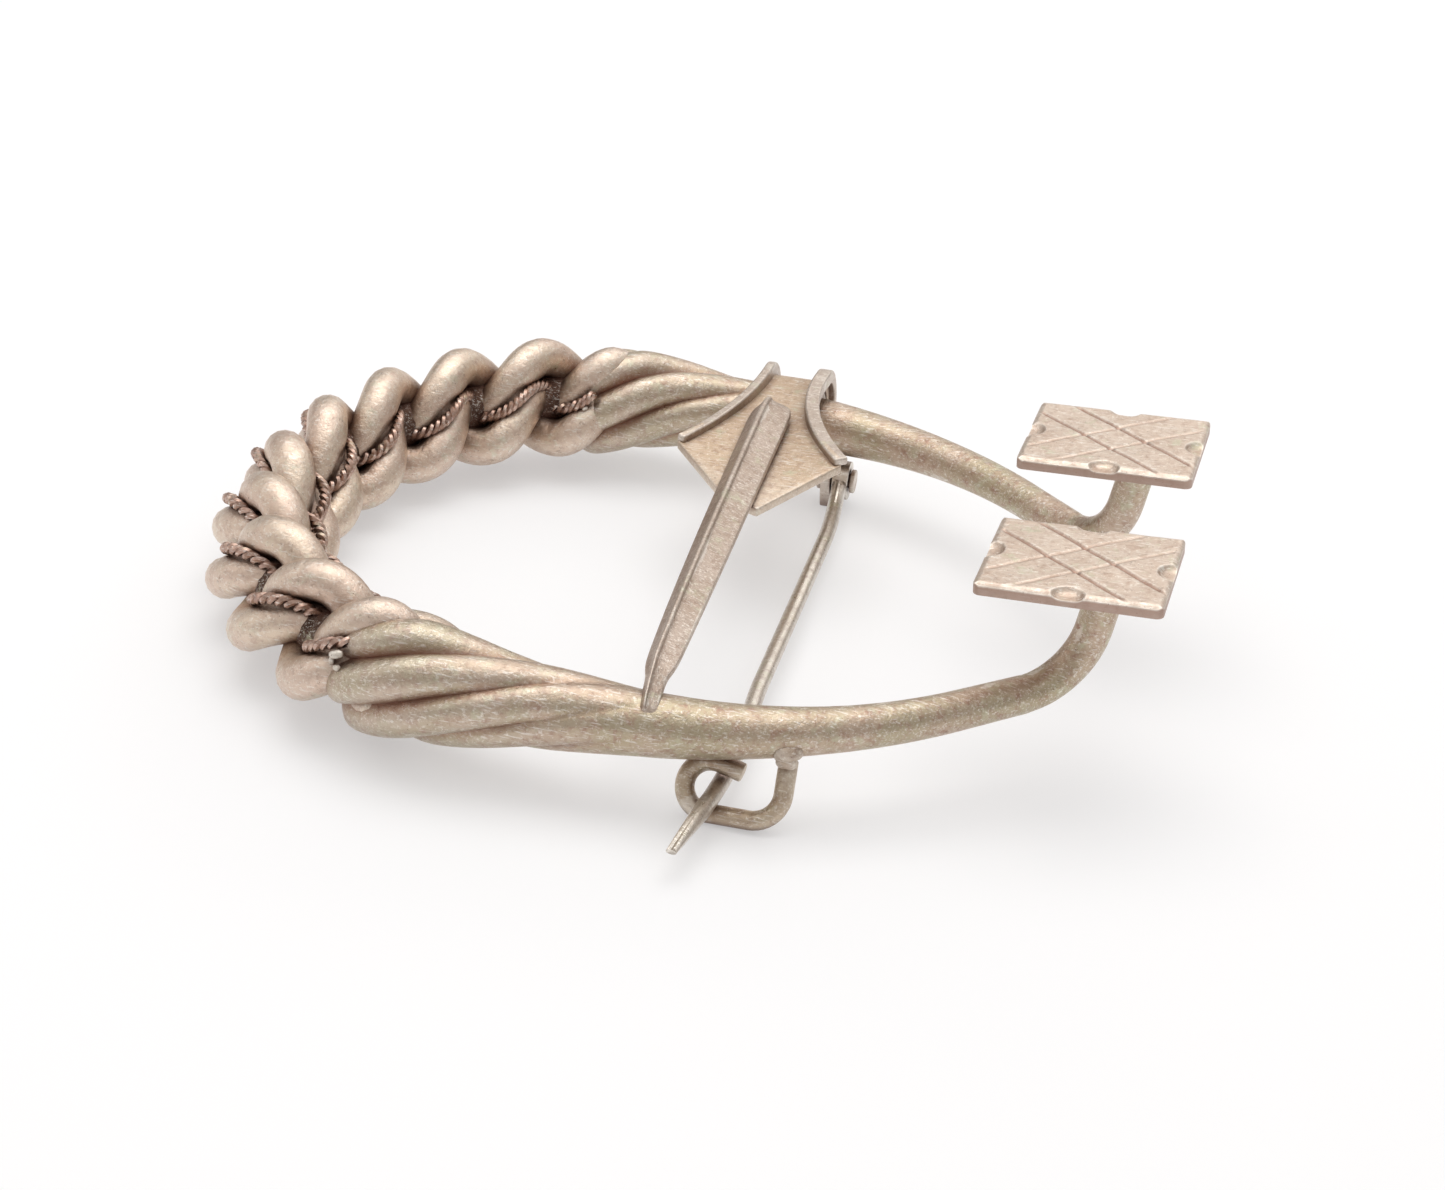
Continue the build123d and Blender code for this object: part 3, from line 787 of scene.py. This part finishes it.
fan_silver = old_silver("fan_silver", (0.62, 0.48, 0.35), (0.57, 0.43, 0.31), (0.47, 0.33, 0.24),
                        0.42)
softened("pin_head_plate", "pin_head_fan", 0.12, fan_silver, "brooch")


# Hinge: a plain silver lug, soldered under the fan's right corner, and a rivet through it and
# through the pin's eye, both ends hammered to flat heads. The photograph hides nearly all of it.
bar_silver = old_silver("bar_silver", (0.54, 0.44, 0.37), (0.48, 0.38, 0.31), (0.40, 0.30, 0.24),
                        0.36)
softened("hinge_bracket", "hinge_lug", 0.10, bar_silver, "brooch")
softened("hinge_rivet", "hinge_rivet_head", 0.08, bar_silver, "brooch")


# Fan rims: a thick silver strip soldered on edge along each hollow side of the fan, highest where
# it passes over the arm, and curled on behind the arm with the sheet.
head_centre = Vector((7.0, 20.49, 0))
solid_rim_height = 0.5
head_radius = (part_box("pin_head_plate")[1].y / MM - lay_shift.y - head_centre.y
               - solid_rim_height)
wrap_end = math.radians(-33)
rim_sink = 0.05
rim_height = 0.52
rim_rise = 0.45
curl_height = 0.50
curl_rise = 0.47
rim_wear = 0.13
rim_steps = 24
curl_steps = 20
rim_sides = (  # name, tip, middle and waist of the fan's side, and the strip's two faces beside it
    ("left_rim", Vector((1.9, 9.0, 0)), Vector((4.075, 14.75, 0)), 5.0, -0.04, 0.56),
    ("right_rim", Vector((12.6, 9.0, 0)), Vector((9.55, 14.75, 0)), 9.0, 0.42, -0.53),
)
for name, tip, middle, waist, outside, inside in rim_sides:
    waist_place = Vector((waist, head_centre.y, 0))
    across = waist_place - tip
    bulge = middle - (tip + waist_place) / 2
    rim_loops = []
    for step in range(rim_steps + 1):
        share = step / rim_steps
        foot = tip + across * share + bulge * (4 * share * (1 - share))
        heading = (across + bulge * (4 - 8 * share)).normalized()
        sideways = Vector((heading.y, -heading.x, 0))
        lift = Vector((0, 0, rim_height + rim_rise * share ** 1.5))
        base = foot + Vector((0, 0, head_radius - rim_sink))
        rim_loops.append([base + sideways * outside, base + sideways * outside + lift,
                          base + sideways * inside + lift, base + sideways * inside])
    for step in range(1, curl_steps + 1):
        angle = math.pi / 2 + (wrap_end - math.pi / 2) * step / curl_steps
        out = Vector((0, math.cos(angle), math.sin(angle)))
        lift = out * (curl_height + curl_rise * max(0, math.sin(angle)) ** 3)
        base = waist_place + out * (head_radius - rim_sink)
        outer_face = base + Vector((outside, 0, 0))
        inner_face = base + Vector((inside, 0, 0))
        rim_loops.append([outer_face, outer_face + lift, inner_face + lift, inner_face])
    rim = closed_loft(name, rim_loops, 40)
    worn_edges(rim, rim_wear, 50)
    rim.data.materials.append(bar_silver)
    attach(rim, "brooch")


# Head solder: the dull solder that was run in between the curled sheet and the tapering arm, so
# that the pin head sits fast.
solder_look = old_silver("solder_look", (0.52, 0.41, 0.31), (0.44, 0.33, 0.25), (0.34, 0.23, 0.17),
                         0.5, bump=0.8)
solder_left = 5.2
solder_width = 3.7
solder_radius = head_radius - 0.58
solder_taper = 0.15
solder_inner_radius = 1.3
solder_front_end = math.radians(100)
solder_steps = 8
arc_steps = 12
solder_loops = []
for step in range(solder_steps + 1):
    share = step / solder_steps
    middle = Vector((solder_left + solder_width * share, head_centre.y, 0))
    loop = []
    for arc, reach in ((range(arc_steps + 1), solder_radius - solder_taper * share ** 4),
                       (range(arc_steps, -1, -1), solder_inner_radius)):
        for part in arc:
            angle = wrap_end + (solder_front_end - wrap_end) * part / arc_steps
            loop.append(middle + Vector((0, reach * math.cos(angle), reach * math.sin(angle))))
    solder_loops.append(loop)
head_solder = closed_loft("head_solder", solder_loops, 40)
head_solder.data.materials.append(solder_look)
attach(head_solder, "brooch")


# Solder beads: small lumps of bright solder left where the rods enter the arms' roots, and a worn
# bead of dull solder round the foot of the hook, under the front arm.
lump_segments = 24
lump_rings = 14
lump_unevenness = 0.12


def solder_bead(name, beads, look):
    """Lumps of solder, each a sphere at its place and size, made lumpy and joined in one piece."""
    lumps = []
    for number, (place, size) in enumerate(beads):
        nothing_selected()
        bpy.ops.mesh.primitive_uv_sphere_add(segments=lump_segments, ring_count=lump_rings,
                                             radius=MM)
        lump = bpy.context.object
        for vert in lump.data.vertices:
            x, y, z = vert.co / MM
            wave = math.sin(3.1 * x + 1.7 * number) * math.sin(2.7 * y + 0.9 * number + z)
            offset = Vector((x * size[0], y * size[1], z * size[2]))
            vert.co = laid(place + offset * (1 + lump_unevenness * wave))
        lumps.append(lump)
    nothing_selected()
    for lump in lumps:
        lump.select_set(True)
    bpy.context.view_layer.objects.active = lumps[0]
    bpy.ops.object.join()
    piece = bpy.context.object
    piece.name = name
    bpy.ops.object.shade_smooth()
    piece.data.materials.append(look)
    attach(piece, "brooch")


def root_place(side, beyond, inward_by, up_by):
    """A place beside the hoop's axis, so far beyond the mouth of an arm's root."""
    mouth = front_start if side < 0 else rear_start
    centre, walk, inward = hoop_place(mouth + beyond, side)
    return centre + inward * inward_by + Vector((0, 0, up_by))


bright_solder = old_silver("bright_solder", (0.78, 0.74, 0.68), (0.62, 0.55, 0.47),
                           (0.40, 0.30, 0.24), 0.45, bump=0.9)
solder_bead("root_solder", [
    (root_place(-1, 0.9, -2.9, 1.6), (0.42, 0.30, 0.26)),
    (root_place(-1, 0.6, -2.9, 1.1), (0.20, 0.22, 0.30)),
    (root_place(-1, 1.1, -3.1, 0.9), (0.24, 0.18, 0.20)),
    (root_place(-1, 0.2, -3.0, 0.5), (0.18, 0.20, 0.16)),
    (root_place(1, 0.8, 2.9, 1.4), (0.30, 0.25, 0.25)),
    (root_place(1, 0.3, 3.0, 0.6), (0.22, 0.20, 0.20)),
], bright_solder)

hook_half_wire = 0.6
hook_low, hook_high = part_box("catch_hook")
hook_foot = Vector((hook_high.x / MM - hook_half_wire, (hook_low.y + hook_high.y) / (2 * MM),
                    hook_high.z / MM)) - lay_shift
solder_bead("hook_solder", [
    (hook_foot + Vector((0, 0.15, 0.20)), (0.85, 0.75, 0.62)),
    (hook_foot + Vector((0, 0.05, -0.25)), (0.64, 0.62, 0.60)),
], solder_look)


# Fixed bar: a long roof shaped silver bar, forged in one piece, soldered on the fan and on the
# front arm. Its ridge lies left of its middle, and it narrows to a small round nose.
bar_rear = Vector((6.85, 15.4, 0))
bar_front = Vector((8.15, -21.6, 0))
bar_width = 2.7
bar_height = 1.2
bar_below_rims = 0.72
bar_rear_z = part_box("pin_head_plate")[1].z / MM - lay_shift.z - bar_below_rims
bar_front_z = 2.2
bar_table = [  # share of the length, width, height, and share of the way down to the arm
    (0.000, 0.42, 0.35, 0.00), (0.006, 0.62, 0.70, 0.00), (0.016, 0.80, 0.94, 0.00),
    (0.035, 0.95, 1.06, 0.00), (0.070, 1.00, 1.10, 0.00), (0.150, 0.99, 1.06, 0.02),
    (0.300, 0.96, 1.00, 0.10), (0.500, 0.92, 0.98, 0.30), (0.700, 0.84, 0.96, 0.56),
    (0.850, 0.74, 0.90, 0.82), (0.915, 0.68, 0.88, 1.00), (0.932, 0.48, 0.92, 1.15),
    (0.955, 0.43, 0.94, 1.50), (0.975, 0.43, 0.88, 1.90), (0.994, 0.41, 0.76, 2.25),
    (1.000, 0.33, 0.52, 2.40),
]
bar_outline = [  # across and up, in shares of the width and the height
    (-0.50, 0.00), (-0.50, 0.20), (-0.485, 0.28), (-0.26, 0.74), (-0.24, 0.88), (-0.20, 1.00),
    (-0.12, 1.00), (-0.08, 0.88), (-0.06, 0.76), (0.44, 0.46), (0.48, 0.40), (0.50, 0.30),
    (0.50, 0.00), (0.00, 0.00),
]
bar_walk = (bar_front - bar_rear).normalized()
bar_aside = Vector((-bar_walk.y, bar_walk.x, 0))
bar_loops = []
for share, wide, high, fall in bar_table:
    foot = bar_rear + (bar_front - bar_rear) * share
    foot.z = bar_rear_z + (bar_front_z - bar_rear_z) * fall
    bar_loops.append([foot + bar_aside * (bar_width * wide * aside)
                      + Vector((0, 0, bar_height * high * lift)) for aside, lift in bar_outline])
fixed_bar = closed_loft("fixed_bar", bar_loops, 40)
only(fixed_bar)
roundness = fixed_bar.modifiers.new("forged_roundness", "SUBSURF")
roundness.levels = 2
roundness.render_levels = 2
bpy.ops.object.modifier_apply(modifier=roundness.name)
fixed_bar.data.materials.append(bar_silver)
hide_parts("ornament_pin")
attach(fixed_bar, "brooch")


# Working pin and hook: the pin is a round silver wire with an eye on the rivet and a point hammered
# flat. The hook is bent from thicker wire, soldered under the front arm, and holds the pin's end.
pin_look = old_silver("pin_look", (0.70, 0.65, 0.58), (0.62, 0.56, 0.49), (0.52, 0.44, 0.39), 0.30,
                      bump=0.3)
hook_look = old_silver("hook_look", (0.56, 0.46, 0.34), (0.50, 0.39, 0.28), (0.40, 0.29, 0.21),
                       0.36)
softened("pin_wire", "working_pin", 0, pin_look, "pin")
softened("catch_hook", "bent_hook", 0.10, hook_look, "brooch")
